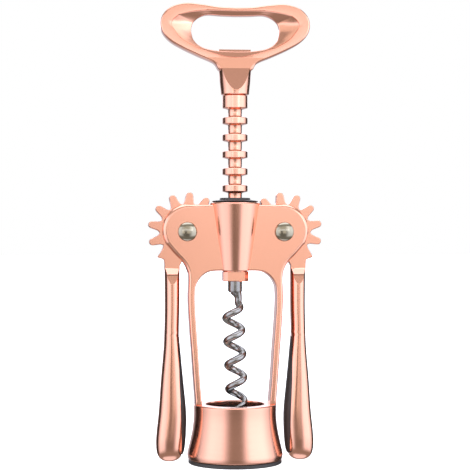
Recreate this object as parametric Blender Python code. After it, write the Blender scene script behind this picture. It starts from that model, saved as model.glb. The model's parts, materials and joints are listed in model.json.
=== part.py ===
"""Lever (wing) corkscrew: a rack with a worm, which spins and slides in a frame, and two geared levers.

Units are metres, +Z is up, +X is the right of the front view and the front faces -Y. The origin is the
centre of the foot. Run it with blender --background --python part.py, or from Blender's text editor.
"""

import math

import bmesh
import bpy
from mathutils import Matrix, Vector

# Fits
GAP = 0.0003  # between two pieces that touch
RUNNING_GAP = 0.0003  # around the rack and the pins
CUT_MARGIN = 0.001  # how far a cutter stands out of what it cuts

# Rack and gears
RACK_PITCH = 0.0070
GEAR_TEETH = 13  # of the whole wheel, which the levers carry a sector of
PITCH_R = GEAR_TEETH * RACK_PITCH / (2 * math.pi)
GEAR_TIP_R = 0.0162
GEAR_ROOT_R = 0.0116
GEAR_HALF = 0.0022
# Half of a tooth's width at some of its radii, from its root to its tip
TOOTH_HALF_WIDTHS = (
    (GEAR_ROOT_R, 0.0021),
    (0.0124, 0.0018),
    (PITCH_R, 0.00155),
    (0.0158, 0.0011),
    (GEAR_TIP_R, 0.0006),
)
FIRST_TOOTH = math.radians(88.65)  # from straight up towards the rack, about a lever's pin
TOOTH_STEP = math.tau / GEAR_TEETH
RING_R = 0.0052
CORE_R = 0.00285
RING_TIP_HALF = 0.001225
RING_ROOT_HALF = 0.00185
RING_COUNT = 9
TOP_RING_Z = 0.1413
TOP_COLLAR = (0.1466, 0.15175)
RACK_BOTTOM = 0.0750
RACK_FOOT_COLLAR_TOP = 0.0799
COLLAR_FLAT_HALF = 0.0035  # half of a flat of the block on the rack's foot
COLLAR_TOP_R = 0.0050
SPIGOT_R = 0.0024
SPIGOT_TOP = 0.1605

# Pivots
PIN_X = 0.0200
PIN_Z = 0.0955
PIN_R = 0.0025
RIVET_HEAD_R = 0.0040
RIVET_HEAD_H = 0.0018
RIVET_TAIL_R = 0.0013

# Frame
PLATE_HALF = 0.0045  # the outer faces of the two cheek plates
SLOT_HALF = 0.0025  # half of the slot that a lever's gear turns in
SLOT_R = 0.0168
PLATE_TOP = 0.1066
EAR_CENTRE = (0.0194, 0.0961)
EAR_R = 0.0108
BOSS_TOP = 0.1074
BOSS_FOOT = 0.0794
BOSS_TOP_R = 0.0105
BOSS_FOOT_R = 0.00695
BOSS_BORE_R = RING_R + RUNNING_GAP
BUSH_SEAT_Z = 0.1056  # clear of the gears' tips
BUSH_TUBE_R = 0.0068
TENON_HALF = (0.0008, 0.0025)
TENON_X = 0.0154
TENON_DEPTH = 0.0017

# Bell
BELL_TOP = 0.0243
BELL_ROOF = 0.0021
BELL_HOLE_R = 0.0121
BELL_BORE_R = 0.0160
LINER_FLANGE = 0.0015
LINER_R = 0.0157
LINER_BORE_R = 0.0149
SEAT_Z = 0.0192
SEAT_HOLE_R = 0.0125

# Handle
HANDLE_HALF = 0.0030
HANDLE_TOP = 0.1900
NECK_FOOT = 0.15205
NECK_FOOT_R = 0.00584
NECK_R = 0.0065

# Worm
WIRE_R = 0.0015
WORM_R = 0.0033  # of the helix that the wire follows
WORM_PITCH = 0.00977
WORM_LEFT_Z = 0.0599  # where the wire is at its furthest left
WORM_TIP = 0.0220
SHANK_R = 0.00295
SHANK = (0.0703, 0.0747)
TANG_TOP = 0.0860
WIRE_START_X = 0.0014
WORM_LEAN = 0.04  # how far the worm leans to the right on its way down, per length
WORM_LEAN_Z = 0.0450  # where its middle crosses the rack's axis
HELIX_FROM = 0.0675  # the wire leaves the shank above this and is a full helix below the next
HELIX_FULL = 0.0622

ROUND_SEGMENTS = 32
FINE_SEGMENTS = 20

# Each section of a lever's arm: height, outer and inner distance from the middle, and half of its depth.
# The whole oval runs from the outer to the inner one, and the grip insert is the part past GRIP_FACE.
ARM_SECTIONS = (
    (0.0803, 0.0293, 0.0230, 0.0022),
    (0.0779, 0.0292, 0.0230, 0.0038),
    (0.0739, 0.0292, 0.0230, 0.0048),
    (0.0640, 0.0292, 0.0230, 0.0048),
    (0.0540, 0.02935, 0.0232, 0.0048),
    (0.0466, 0.0297, 0.0227, 0.0049),
    (0.0342, 0.03075, 0.0215, 0.0051),
    (0.0217, 0.0316, 0.0203, 0.0054),
    (0.0135, 0.0324, 0.0203, 0.0055),
    (0.0093, 0.0328, 0.0206, 0.0055),
    (0.0055, 0.0326, 0.0211, 0.0049),
    (0.0030, 0.0318, 0.0224, 0.0039),
    (0.0015, 0.0301, 0.0242, 0.0026),
    (0.0009, 0.0283, 0.0261, 0.0012),
)
# The flat that the grip lies on: height and distance from the middle
GRIP_FACE = (
    (0.0530, 0.0234),
    (0.0466, 0.0235),
    (0.0342, 0.0233),
    (0.0217, 0.0227),
    (0.0093, 0.0224),
    (0.0030, 0.0225),
)
GRIP_ENDS = (0.0505, 0.0036)
ARM_POINTS = 18
GRIP_POINTS = 9
ARM_SEAM = 0.12  # half of the angle that an uncut oval leaves open on its inner side, as a narrow flat

# Colours and finishes
ROSE_GOLD = (0.86, 0.50, 0.38)
STEEL = (0.42, 0.40, 0.38)
BLACK = (0.04, 0.035, 0.035)


def clear_scene():
    for obj in list(bpy.data.objects):
        bpy.data.objects.remove(obj, do_unlink=True)


def make_material(name, colour, roughness, metallic):
    material = bpy.data.materials.new(name)
    material.use_nodes = True
    shader = material.node_tree.nodes["Principled BSDF"]
    shader.inputs["Base Color"].default_value = (*colour, 1)
    shader.inputs["Roughness"].default_value = roughness
    shader.inputs["Metallic"].default_value = metallic
    material.diffuse_color = (*colour, 1)
    return material


def polar(radius, angle):
    """A point in plan at this radius and angle."""
    return radius * math.cos(angle), radius * math.sin(angle)


def arc(centre, radius, start, end, steps):
    """Points on a circle from one angle to another, in degrees, both ends included."""
    points = []
    for i in range(steps + 1):
        x, z = polar(radius, math.radians(start + (end - start) * i / steps))
        points.append((centre[0] + x, centre[1] + z))
    return points


def between(a, b, c, d, t):
    """The value a share t of the way from b to c, on a smooth curve that comes from a and goes on to d."""
    square = (a - 2.5 * b + 2 * c - d / 2) * t**2
    return b + (c - a) * t / 2 + square + (3 * b - a - 3 * c + d) * t**3 / 2


def curve_through(points, steps):
    """A smooth (Catmull-Rom) curve through the points, with this many steps between two of them."""
    before = tuple(2 * a - b for a, b in zip(points[0], points[1]))
    after = tuple(2 * a - b for a, b in zip(points[-1], points[-2]))
    ends = [before, *points, after]
    curve = []
    for p0, p1, p2, p3 in zip(ends, ends[1:], ends[2:], ends[3:]):
        for i in range(steps):
            curve.append(tuple(between(*values, i / steps) for values in zip(p0, p1, p2, p3)))
    curve.append(tuple(points[-1]))
    return curve


def mirrored(half):
    """A closed outline from its right half, which starts and ends on or near the middle line."""
    left = [(-x, z) for x, z in reversed(half) if x > 1e-6]
    return half + left


def value_at(table, z):
    """The value at a height, in a table of (height, value) from the top down."""
    for (z0, v0), (z1, v1) in zip(table, table[1:]):
        if z1 <= z <= z0:
            return v1 + (v0 - v1) * (z - z1) / (z0 - z1)
    return table[0][1] if z > table[0][0] else table[-1][1]


def finish_mesh(name, bm, material, origin):
    """An object with this mesh, smooth shaded, with its origin at the given point."""
    bmesh.ops.recalc_face_normals(bm, faces=bm.faces[:])
    mesh = bpy.data.meshes.new(name)
    bm.to_mesh(mesh)
    bm.free()
    mesh.transform(Matrix.Translation(-Vector(origin)))
    mesh.shade_smooth()
    mesh.set_sharp_from_angle(angle=math.radians(35))
    mesh.materials.append(material)
    obj = bpy.data.objects.new(name, mesh)
    obj.location = origin
    bpy.context.collection.objects.link(obj)
    return obj


def loft(name, rings, material, origin=(0, 0, 0)):
    """A solid through rings of points, all with the same count, closed at both ends."""
    bm = bmesh.new()
    loops = [[bm.verts.new(point) for point in ring] for ring in rings]
    count = len(loops[0])
    for lower, upper in zip(loops, loops[1:]):
        for i in range(count):
            j = (i + 1) % count
            bm.faces.new((lower[i], lower[j], upper[j], upper[i]))
    bm.faces.new(loops[0])
    bm.faces.new(loops[-1])
    return finish_mesh(name, bm, material, origin)


def prism(name, outline, front, back, material, origin=(0, 0, 0)):
    """An outline of (x, z) points, made solid from y = front to y = back."""
    rings = [[(x, y, z) for x, z in outline] for y in (front, back)]
    return loft(name, rings, material, origin)


def turned(name, profile, material, segments=ROUND_SEGMENTS, axis_y=None):
    """A turned solid from a closed loop of (radius, height) points.

    It turns about the Z axis. With axis_y, a point (x, y, z), height runs from there towards -Y.
    """
    bm = bmesh.new()
    rings = []
    for radius, height in profile:
        if radius == 0:
            rings.append([bm.verts.new((0, 0, height))] * segments)
        else:
            ring = [polar(radius, math.tau * i / segments) for i in range(segments)]
            rings.append([bm.verts.new((x, y, height)) for x, y in ring])
    for ring, after in zip(rings, rings[1:] + rings[:1]):
        for i in range(segments):
            j = (i + 1) % segments
            corners = list(dict.fromkeys((ring[i], ring[j], after[j], after[i])))
            if len(corners) > 2:
                bm.faces.new(corners)
    if axis_y is None:
        return finish_mesh(name, bm, material, (0, 0, 0))
    bm.transform(Matrix.Translation(axis_y) @ Matrix.Rotation(math.pi / 2, 4, "X"))
    return finish_mesh(name, bm, material, axis_y)


def box(name, low, high, material):
    outline = [(low[0], low[2]), (high[0], low[2]), (high[0], high[2]), (low[0], high[2])]
    return prism(name, outline, low[1], high[1], material)


def rod_profile(radius, low, high):
    return [(0, low), (radius, low), (radius, high), (0, high)]


def combine(obj, tool, operation):
    """A Boolean on obj, whose tool is only a guide and no piece."""
    modifier = obj.modifiers.new(tool.name, "BOOLEAN")
    modifier.operation = operation
    modifier.object = tool
    modifier.solver = "EXACT"
    tool.hide_render = True
    tool.display_type = "WIRE"


def bevel(obj, width, segments, angle):
    modifier = obj.modifiers.new("rounded edges", "BEVEL")
    modifier.width = width
    modifier.segments = segments
    modifier.limit_method = "ANGLE"
    modifier.angle_limit = math.radians(angle)


# The frame


def frame_outline():
    """The right half of the frame from the top middle, down its outer side and up its window."""
    ear = arc(EAR_CENTRE, EAR_R, 90, -24, 14)
    shoulder = [(0.0286, 0.0905), (0.0248, 0.0862), (0.0216, 0.0831), (0.0200, 0.0802), (0.01925, 0.0766)]
    outer_leg = [(0.0196, 0.0673), (0.0183, 0.0466), (0.0168, 0.0259), (0.0167, BELL_TOP + GAP)]
    inner_leg = [(0.0139, BELL_TOP + GAP), (0.0141, 0.0259), (0.0156, 0.0466), (0.0169, 0.0673)]
    corner = [(0.0168, 0.0717), (0.0162, 0.0740), (0.0148, 0.0763), (0.0125, 0.0783), (0.0099, 0.0792)]
    leg = outer_leg + inner_leg
    window = curve_through(corner, 2) + [(0.0055, 0.0795), (0, 0.0795)]
    return [(0, PLATE_TOP)] + ear + curve_through(shoulder, 3) + leg + window


def make_frame_body(metal):
    """The casting with two cheek plates, the conical boss that the rack runs in, and two legs."""
    frame = prism("frame_body", mirrored(frame_outline()), -PLATE_HALF, PLATE_HALF, metal)
    bevel(frame, 0.0005, 1, 60)
    boss_profile = [(0, BOSS_FOOT), (BOSS_FOOT_R, BOSS_FOOT), (BOSS_TOP_R, BOSS_TOP), (0, BOSS_TOP)]
    combine(frame, turned("boss", boss_profile, metal), "UNION")
    for side in (-1, 1):
        low = (side * TENON_X - TENON_HALF[0], -TENON_HALF[1], BELL_TOP - TENON_DEPTH)
        high = (side * TENON_X + TENON_HALF[0], TENON_HALF[1], BELL_TOP + 2 * CUT_MARGIN)
        combine(frame, box(f"tenon {side}", low, high, metal), "UNION")
    bore_profile = [
        (0, BOSS_FOOT - CUT_MARGIN),
        (BOSS_BORE_R, BOSS_FOOT - CUT_MARGIN),
        (BOSS_BORE_R, BUSH_SEAT_Z - GAP),
        (BUSH_TUBE_R + GAP, BUSH_SEAT_Z - GAP),
        (BUSH_TUBE_R + GAP, BOSS_TOP + CUT_MARGIN),
        (0, BOSS_TOP + CUT_MARGIN),
    ]
    combine(frame, turned("boss bore", bore_profile, metal), "DIFFERENCE")
    for side in (-1, 1):
        back = (side * PIN_X, SLOT_HALF, PIN_Z)
        slot = turned(f"gear slot {side}", rod_profile(SLOT_R, 0, 2 * SLOT_HALF), metal, axis_y=back)
        combine(frame, slot, "DIFFERENCE")
        back = (side * PIN_X, PLATE_HALF + CUT_MARGIN, PIN_Z)
        length = 2 * (PLATE_HALF + CUT_MARGIN)
        hole = turned(f"pin hole {side}", rod_profile(PIN_R + GAP, 0, length), metal, FINE_SEGMENTS, back)
        combine(frame, hole, "DIFFERENCE")
    return frame


def make_bell_base(metal):
    """The turned bell that the legs stand on."""
    profile = [
        (BELL_HOLE_R, BELL_TOP),
        (0.0166, BELL_TOP),
        (0.0171, BELL_TOP - 0.0005),
        (0.0171, 0.0190),
        (0.0177, 0.0135),
        (0.0183, 0.0105),
        (0.0190, 0.0074),
        (0.0195, 0.0052),
        (0.0198, 0.0037),
        (0.0197, 0.0025),
        (0.0195, LINER_FLANGE + GAP),
        (BELL_BORE_R, LINER_FLANGE + GAP),
        (BELL_BORE_R, BELL_TOP - BELL_ROOF),
        (BELL_HOLE_R, BELL_TOP - BELL_ROOF),
    ]
    bell = turned("bell_base", profile, metal, 40)
    for side in (-1, 1):
        low = (side * TENON_X - TENON_HALF[0] - GAP, -TENON_HALF[1] - GAP, BELL_TOP - BELL_ROOF - CUT_MARGIN)
        high = (side * TENON_X + TENON_HALF[0] + GAP, TENON_HALF[1] + GAP, BELL_TOP + CUT_MARGIN)
        combine(bell, box(f"leg pocket {side}", low, high, metal), "DIFFERENCE")
    return bell


def make_bell_liner(plastic):
    """The plastic ring under the bell, with the tube that guides the bottle and the seat on its rim."""
    top = BELL_TOP - BELL_ROOF - GAP
    profile = [
        (0.0193, 0),
        (0.0193, LINER_FLANGE),
        (LINER_R, LINER_FLANGE),
        (LINER_R, top),
        (SEAT_HOLE_R, top),
        (SEAT_HOLE_R, SEAT_Z),
        (LINER_BORE_R, SEAT_Z),
        (LINER_BORE_R, 0.0012),
        (0.0160, 0),
    ]
    return turned("bell_liner", profile, plastic, 40)


def make_guide_bush(plastic):
    """The bush in the top of the boss, whose low dome closes the boss around the rack."""
    flange = BOSS_TOP + GAP
    profile = [
        (BOSS_BORE_R, BUSH_SEAT_Z),
        (BUSH_TUBE_R, BUSH_SEAT_Z),
        (BUSH_TUBE_R, flange),
        (0.0089, flange),
        (0.0096, flange + 0.0005),
        (0.0094, flange + 0.0008),
        (0.0078, flange + 0.0011),
        (0.0063, flange + 0.0014),
        (0.0060, flange + 0.0017),
        (BOSS_BORE_R, flange + 0.0017),
    ]
    return turned("guide_bush", profile, plastic)


# The pivots


def rivet_dome():
    """Radius and rise of the points of a rivet's dome, which stands on a short straight edge."""
    rim = 0.3 * RIVET_HEAD_H
    angles = (0, 0.4, 0.8, 1.2)
    return [(RIVET_HEAD_R * math.cos(a), rim + (RIVET_HEAD_H - rim) * math.sin(a)) for a in angles]


def make_rivet(name, side, metal):
    """The front half of a pivot: a domed head, the shank and a thin tail that enters the cap."""
    head = PLATE_HALF + GAP
    dome = [(radius, head + rise) for radius, rise in rivet_dome()]
    profile = [
        (0, -head - 0.0010),
        (RIVET_TAIL_R, -head - 0.0010),
        (RIVET_TAIL_R, -head + GAP),
        (PIN_R, -head + GAP),
        (PIN_R, head),
        (RIVET_HEAD_R, head),
        *dome,
        (0, head + RIVET_HEAD_H),
    ]
    return turned(name, profile, metal, FINE_SEGMENTS, (side * PIN_X, 0, PIN_Z))


def make_rivet_cap(name, side, metal):
    """The rear half of a pivot: a domed cap with a blind hole for the tail."""
    head = PLATE_HALF + GAP
    dome = [(radius, -head - rise) for radius, rise in rivet_dome()]
    profile = [
        (0, -head - 0.0013),
        (RIVET_TAIL_R + GAP, -head - 0.0013),
        (RIVET_TAIL_R + GAP, -head),
        (RIVET_HEAD_R, -head),
        *dome,
        (0, -head - RIVET_HEAD_H),
    ]
    return turned(name, profile, metal, FINE_SEGMENTS, (side * PIN_X, 0, PIN_Z))


# The levers


def gear_point(radius, angle):
    """A point of the right lever's sector: the angle runs from straight up towards the rack."""
    return PIN_X - radius * math.sin(angle), PIN_Z + radius * math.cos(angle)


def sector_outline():
    """The toothed sector of the right lever, from its inner lower corner round to the outer one."""
    points = [(0.0221, 0.0806), (0.0221, 0.0832)]
    points += [gear_point(GEAR_ROOT_R, math.radians(a)) for a in (170, 155, 140)]
    for number in range(-1, 9):
        middle = FIRST_TOOTH - number * TOOTH_STEP
        flank = [(r, half / r) for r, half in TOOTH_HALF_WIDTHS]
        points += [gear_point(r, middle + turn) for r, turn in flank]
        if number < 8:
            points += [gear_point(r, middle - turn) for r, turn in reversed(flank)]
    points += [(0.0322, 0.0851), (0.02965, 0.0839), (0.0293, 0.0800), (0.0230, 0.0800), (0.0230, 0.0815)]
    return points


def oval(z, outer, inner, half, start, end, count):
    """Points of an arm's oval section at height z, between two angles from its inner side."""
    centre = (outer + inner) / 2
    width = (outer - inner) / 2
    points = []
    for i in range(count):
        angle = start + (end - start) * i / (count - 1)
        points.append((centre - width * math.cos(angle), half * math.sin(angle), z))
    return points


def cut_angle(outer, inner, face):
    """The angle on the oval where its inner side is cut off at x = face."""
    share = ((outer + inner) / 2 - face) / ((outer - inner) / 2)
    return math.acos(max(-1, min(1, share)))


def turned_to_side(rings, side):
    return [[(side * x, y, z) for x, y, z in ring] for ring in rings]


def make_lever(name, side, metal):
    """A lever: the sector that meshes with the rack, and the rounded arm with a flat for the grip."""
    origin = (side * PIN_X, 0, PIN_Z)
    rings = []
    for z, outer, inner, half in ARM_SECTIONS:
        angle = ARM_SEAM
        if z < GRIP_FACE[0][0]:
            angle = max(ARM_SEAM, cut_angle(outer, inner, value_at(GRIP_FACE, z)))
        rings.append(oval(z, outer, inner, half, angle, math.tau - angle, ARM_POINTS))
    lever = loft(name, turned_to_side(rings, side), metal, origin)
    outline = [(side * x, z) for x, z in sector_outline()]
    sector = prism(f"{name} sector", outline, -GEAR_HALF, GEAR_HALF, metal)
    combine(lever, sector, "UNION")
    back = (side * PIN_X, GEAR_HALF + CUT_MARGIN, PIN_Z)
    length = 2 * (GEAR_HALF + CUT_MARGIN)
    hole = turned(f"{name} hole", rod_profile(PIN_R + RUNNING_GAP, 0, length), metal, FINE_SEGMENTS, back)
    combine(lever, hole, "DIFFERENCE")
    return lever


def make_lever_grip(name, side, plastic):
    """The insert along the inner side of an arm."""
    inside = [z for z, *_ in ARM_SECTIONS if GRIP_ENDS[1] < z < GRIP_ENDS[0]]
    heights = [GRIP_ENDS[0], *inside, GRIP_ENDS[1]]
    rings = []
    for z in heights:
        columns = [[(row[0], row[i]) for row in ARM_SECTIONS] for i in (1, 2, 3)]
        outer, inner, half = (value_at(column, z) for column in columns)
        angle = cut_angle(outer, inner, value_at(GRIP_FACE, z) - GAP)
        rings.append(oval(z, outer, inner, half, -angle, angle, GRIP_POINTS))
    return loft(name, turned_to_side(rings, side), plastic, (side * PIN_X, 0, PIN_Z))


# The rack, the worm and the handle


def make_rack_shaft(metal):
    """The round rack: a core with nine rings, a top collar, a spigot and a socket for the worm."""
    socket_r = WIRE_R + GAP
    profile = [
        (0, TANG_TOP + GAP),
        (socket_r, TANG_TOP + GAP),
        (socket_r, RACK_BOTTOM),
        (CORE_R, RACK_BOTTOM),
    ]
    slope = RING_ROOT_HALF - RING_TIP_HALF
    for number in reversed(range(RING_COUNT)):
        z = TOP_RING_Z - number * RACK_PITCH
        profile += [
            (CORE_R, z - RING_ROOT_HALF),
            (RING_R, z - RING_TIP_HALF),
            (RING_R, z + RING_TIP_HALF),
            (CORE_R, z + RING_ROOT_HALF),
        ]
    profile += [
        (CORE_R, TOP_COLLAR[0] - slope),
        (RING_R, TOP_COLLAR[0]),
        (RING_R, TOP_COLLAR[1]),
        (SPIGOT_R, TOP_COLLAR[1]),
        (SPIGOT_R, SPIGOT_TOP),
        (0, SPIGOT_TOP),
    ]
    return turned("rack_shaft", profile, metal, FINE_SEGMENTS)


def make_worm_collar(metal):
    """The square block on the rack's lower end, which holds the worm's tang, with a round top in the boss."""
    side, flat = RING_R, COLLAR_FLAT_HALF
    quarter = [(side, -flat), (side, flat)]
    outline = quarter + [(-y, x) for x, y in quarter]
    outline += [(-x, -y) for x, y in outline]
    block_top = BOSS_FOOT - GAP
    rings = [[(x, y, z) for x, y in outline] for z in (RACK_BOTTOM, block_top)]
    collar = loft("worm_collar", rings, metal)
    top = rod_profile(COLLAR_TOP_R, block_top - CUT_MARGIN, RACK_FOOT_COLLAR_TOP)
    combine(collar, turned("collar top", top, metal, FINE_SEGMENTS), "UNION")
    bore = rod_profile(CORE_R + GAP, RACK_BOTTOM - CUT_MARGIN, RACK_FOOT_COLLAR_TOP + CUT_MARGIN)
    combine(collar, turned("collar bore", bore, metal, FINE_SEGMENTS), "DIFFERENCE")
    return collar


def worm_path(steps_per_turn):
    """The middle of the worm's wire from inside the shank down to the tip: a right-hand helix."""
    step = WORM_PITCH / steps_per_turn
    count = round((SHANK[0] + 0.0012 - WORM_TIP) / step)
    points = []
    for i in range(count + 1):
        z = SHANK[0] + 0.0012 - i * step
        blend = min(1, max(0, (HELIX_FROM - z) / (HELIX_FROM - HELIX_FULL)))
        blend = blend * blend * (3 - 2 * blend)
        angle = math.pi + math.tau * (z - WORM_LEFT_Z) / WORM_PITCH
        x, y = polar(WORM_R, angle)
        x += WORM_LEAN * (WORM_LEAN_Z - z)
        points.append(Vector((WIRE_START_X + (x - WIRE_START_X) * blend, y * blend, z)))
    return points


def tube_rings(points, radii, sides):
    """Rings of a tube along the points, square to its path and not twisted."""
    rings = []
    across = Vector((1, 0, 0))
    for i, (point, radius) in enumerate(zip(points, radii)):
        along = (points[min(i + 1, len(points) - 1)] - points[max(i - 1, 0)]).normalized()
        across = (across - along * across.dot(along)).normalized()
        other = along.cross(across)
        turns = [polar(radius, math.tau * k / sides) for k in range(sides)]
        rings.append([point + across * a + other * b for a, b in turns])
    return rings


def make_worm(steel):
    """The worm: its tang in the rack, the shank, and the wire that winds down to a point."""
    path = worm_path(16)
    taper_length = 7
    radii = [WIRE_R * min(1, 0.2 + 0.8 * (len(path) - 1 - i) / taper_length) for i in range(len(path))]
    worm = loft("worm", tube_rings(path, radii, 8), steel)
    profile = [
        (0, SHANK[0]),
        (SHANK_R - 0.0004, SHANK[0]),
        (SHANK_R, SHANK[0] + 0.0004),
        (SHANK_R, SHANK[1]),
        (WIRE_R, SHANK[1]),
        (WIRE_R, TANG_TOP),
        (0, TANG_TOP),
    ]
    combine(worm, turned("shank", profile, steel, FINE_SEGMENTS), "UNION")
    return worm


def handle_outline():
    """The right half of the handle's outline, from the dip at the top to the neck."""
    lobe = [(0, HANDLE_TOP - 0.0018), (0.0070, 0.1885), (0.0135, 0.1894), (0.0206, HANDLE_TOP)]
    lobe += [(0.0266, 0.1884), (0.0299, 0.1851), (0.0311, 0.1814), (0.0301, 0.1773), (0.0270, 0.1738)]
    lobe += [(0.0219, 0.1708), (0.0151, 0.1679), (0.0084, 0.1649)]
    return curve_through(lobe, 3) + [(0.0065, 0.1622), (0.0063, 0.1600), (0, 0.1600)]


def mouth_outline():
    """The right half of the opening that grips a crown cap."""
    end = [(0.0120, 0.1851), (0.0160, 0.1834), (0.0183, 0.1781), (0.0172, 0.1741), (0.0123, 0.1708)]
    return [(0, 0.1845)] + curve_through(end, 4) + [(0, 0.1698)]


def recess_outline():
    """The right half of the shallow step inside the handle's rim."""
    top = [(0, 0.1868), (0.0125, 0.1869), (0.0187, 0.1861), (0.0234, 0.1848)]
    side = [(0.0259, 0.1828), (0.0265, 0.1806), (0.0250, 0.1778), (0.0224, 0.1748), (0.0176, 0.1719)]
    side += [(0.0126, 0.1699), (0.0074, 0.1684), (0, 0.1672)]
    return top + curve_through(side, 2)


def neck_rings():
    """The neck, round at its foot and as flat as the handle at its top."""
    sections = ((NECK_FOOT, NECK_FOOT_R, NECK_FOOT_R), (0.1550, 0.0062, 0.0060), (0.1590, NECK_R, 0.0048))
    sections += ((0.1628, 0.0070, HANDLE_HALF), (0.1660, 0.0080, HANDLE_HALF - 0.0003))
    rings = []
    for z, half_width, half_depth in sections:
        turns = [math.tau * i / ROUND_SEGMENTS for i in range(ROUND_SEGMENTS)]
        rings.append([(half_width * math.cos(a), half_depth * math.sin(a), z) for a in turns])
    return rings


def make_opener_handle(metal):
    """The flat handle with the crown-cap opener, and its round neck with a hole for the rack."""
    recess_depth = 0.0007
    handle = prism("opener_handle", mirrored(handle_outline()), -HANDLE_HALF, HANDLE_HALF, metal)
    combine(handle, loft("neck", neck_rings(), metal), "UNION")
    recess = mirrored(recess_outline())
    deep = HANDLE_HALF - recess_depth
    for side in (-1, 1):
        step = prism(f"recess {side}", recess, side * deep, side * (HANDLE_HALF + CUT_MARGIN), metal)
        combine(handle, step, "DIFFERENCE")
    reach = HANDLE_HALF + CUT_MARGIN
    combine(handle, prism("mouth", mirrored(mouth_outline()), -reach, reach, metal), "DIFFERENCE")
    tooth = box("cap tooth", (-0.00665, 0.0002, 0.1688), (0.00665, 0.0020, 0.1710), metal)
    combine(handle, tooth, "UNION")
    hole = rod_profile(SPIGOT_R + GAP, NECK_FOOT - CUT_MARGIN, SPIGOT_TOP + GAP)
    combine(handle, turned("rack hole", hole, metal, FINE_SEGMENTS), "DIFFERENCE")
    return handle


def add_axis(name, place, pieces):
    """An empty on a joint's axis, which its pieces hang from."""
    empty = bpy.data.objects.new(name, None)
    empty.location = place
    empty.empty_display_size = 0.01
    bpy.context.collection.objects.link(empty)
    for piece in pieces:
        piece.location -= Vector(place)
        piece.parent = empty


def build():
    clear_scene()
    gold = make_material("rose gold", ROSE_GOLD, 0.18, 1.0)
    steel = make_material("steel", STEEL, 0.3, 1.0)
    plastic = make_material("black plastic", BLACK, 0.5, 0.0)

    make_frame_body(gold)
    make_bell_base(gold)
    make_bell_liner(plastic)
    for side, hand in ((-1, "left"), (1, "right")):
        make_rivet(f"{hand}_pivot_rivet", side, steel)
        make_rivet_cap(f"{hand}_rivet_cap", side, steel)
        lever = make_lever(f"{hand}_lever", side, gold)
        grip = make_lever_grip(f"{hand}_lever_grip", side, plastic)
        add_axis(f"{hand} lever axis", (side * PIN_X, 0, PIN_Z), (lever, grip))

    bush = make_guide_bush(plastic)
    rack = (make_rack_shaft(gold), make_worm_collar(gold), make_worm(steel), make_opener_handle(gold))
    add_axis("rack axis", (0, 0, BOSS_TOP), (bush, *rack))


build()
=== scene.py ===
import json
import math

import bmesh
import bpy
import numpy as np
from mathutils import Matrix, Vector


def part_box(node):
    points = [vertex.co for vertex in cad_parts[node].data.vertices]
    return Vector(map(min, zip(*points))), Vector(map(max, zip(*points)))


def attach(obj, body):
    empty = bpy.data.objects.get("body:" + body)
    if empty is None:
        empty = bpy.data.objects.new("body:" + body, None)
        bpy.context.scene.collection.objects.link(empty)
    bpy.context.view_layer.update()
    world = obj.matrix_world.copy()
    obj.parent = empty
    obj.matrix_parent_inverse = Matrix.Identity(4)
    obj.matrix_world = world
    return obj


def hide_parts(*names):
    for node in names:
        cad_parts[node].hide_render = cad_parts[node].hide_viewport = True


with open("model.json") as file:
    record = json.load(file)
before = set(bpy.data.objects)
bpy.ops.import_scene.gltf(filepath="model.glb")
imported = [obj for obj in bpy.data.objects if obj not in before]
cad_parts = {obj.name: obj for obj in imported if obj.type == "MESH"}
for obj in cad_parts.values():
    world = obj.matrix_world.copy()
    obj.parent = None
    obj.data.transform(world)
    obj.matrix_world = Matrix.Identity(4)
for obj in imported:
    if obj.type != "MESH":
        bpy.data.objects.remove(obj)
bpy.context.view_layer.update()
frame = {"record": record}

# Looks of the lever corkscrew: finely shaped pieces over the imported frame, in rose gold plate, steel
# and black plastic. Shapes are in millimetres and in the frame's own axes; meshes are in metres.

MM = 0.001

POLISHED, SATIN = 0, 1  # the two material slots of a casting: its rounded surfaces and its flat faces
SHARP_ANGLE = math.radians(30)
FACET_AREA = 0.8 * MM**2  # a smaller face belongs to a rounded surface
ROUND = 160  # segments of a large turned piece
BELL_SEGMENTS = 200
RACK_SEGMENTS = 112
SMALL_SEGMENTS = 72
SQUARE = ((-1, -1), (1, -1), (1, 1), (-1, 1))

# Gears and rack
RACK_PITCH = 7.0
RING_COUNT = 9
TOP_RING_Z = 141.3
CORE_R = 2.85
RING_TIP_HALF = 1.225
RING_ROOT_HALF = 1.85
RING_EDGE = 0.15
CORE_FILLET = 0.12
GEAR_TEETH = 13
# The middle of the tooth that meshes with the rack, in degrees from straight up, with the play taken up
FIRST_TOOTH = {"left": 87.2, "right": 88.65}
SECTOR_TEETH = range(-1, 8)
GEAR_HALF = 2.2
GEAR_EDGE = 0.35
# One tooth from the middle of a gap to its tip: radius and half of the width there
TOOTH_FLANK = ((11.5, 2.45), (12.1, 1.95), (13.2, 1.72), (14.6, 1.52), (15.5, 1.28), (16.02, 0.75))
TOOTH_GAP_R = 11.35
TOOTH_TIP_R = 16.2

# The frame's plates and the slots for the gears
PLATE_HALF = 4.5
PLATE_TOP = 106.6
PLATE_TOP_EDGE = 0.9
SLOT_HALF = 2.5
SLOT_R = 16.8
EAR = (19.4, 96.1, 10.8)  # middle and radius of the round part about a pivot
EAR_EDGE = 1.6
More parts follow.
